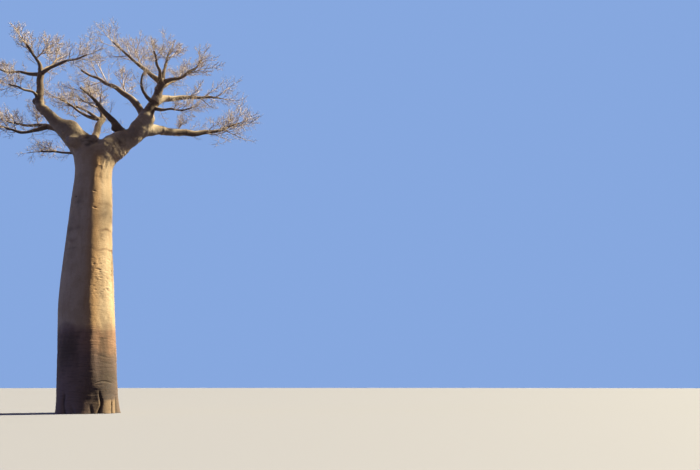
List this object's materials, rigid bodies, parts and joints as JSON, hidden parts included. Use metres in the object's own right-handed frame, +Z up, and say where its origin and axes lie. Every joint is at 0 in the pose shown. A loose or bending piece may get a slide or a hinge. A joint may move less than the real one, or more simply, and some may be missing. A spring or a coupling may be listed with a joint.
{
  "type": "baobab tree",
  "caption": "Whole leafless baobab tree: a tall bottle-shaped trunk on a flat ground-level cut, stout forking boughs set high up, and a flat open crown of fine bare twigs.",
  "frame": {"origin": "middle of the flat cut at ground level, under the trunk", "axes": "+Z up; +X to the right as the picture shows the tree, the side of the long level bough; +Y away from the viewer"},
  "size_m": [17.7616, 10.0724, 25.0815],
  "materials": {
    "trunk_bark": "matte wrinkled bark",
    "bough_bark": "matte bark",
    "twigs": "matte bark on fine twigs"
  },
  "bodies": {
    "root": {"trunk": "trunk_bark", "bough_back": "bough_bark", "bough_back_high": "bough_bark", "bough_back_left": "bough_bark", "bough_back_low": "bough_bark", "bough_far_back": "bough_bark", "bough_far_right": "bough_bark", "bough_front": "bough_bark", "bough_hook": "bough_bark", "bough_inner_left": "bough_bark", "bough_left_back": "bough_bark", "bough_left_front": "bough_bark", "bough_left_lower": "bough_bark", "bough_left_out": "bough_bark", "bough_left_side": "bough_bark", "bough_left_top": "bough_bark", "bough_left_upper": "bough_bark", "bough_low_back": "bough_bark", "bough_low_left": "bough_bark", "bough_low_left_over": "bough_bark", "bough_low_left_under": "bough_bark", "bough_middle": "bough_bark", "bough_right_front": "bough_bark", "bough_right_level": "bough_bark", "bough_right_lower": "bough_bark", "bough_right_upper": "bough_bark", "bough_top": "bough_bark", "bough_top_left": "bough_bark", "bough_top_right": "bough_bark", "twigs_back_high": "twigs", "twigs_back_left": "twigs", "twigs_back_low": "twigs", "twigs_far_back": "twigs", "twigs_far_right": "twigs", "twigs_far_right_low": "twigs", "twigs_far_right_side": "twigs", "twigs_front": "twigs", "twigs_hook": "twigs", "twigs_inner_left": "twigs", "twigs_inner_left_side": "twigs", "twigs_left_back": "twigs", "twigs_left_front": "twigs", "twigs_left_out": "twigs", "twigs_left_side": "twigs", "twigs_left_top": "twigs", "twigs_left_top_side": "twigs", "twigs_low_back": "twigs", "twigs_low_left_over": "twigs", "twigs_low_left_side": "twigs", "twigs_low_left_under": "twigs", "twigs_middle": "twigs", "twigs_right_front": "twigs", "twigs_right_level": "twigs", "twigs_right_level_side": "twigs", "twigs_top": "twigs", "twigs_top_left": "twigs", "twigs_top_left_side": "twigs", "twigs_top_right": "twigs", "twigs_top_right_side": "twigs"}
  },
  "joints": []
}
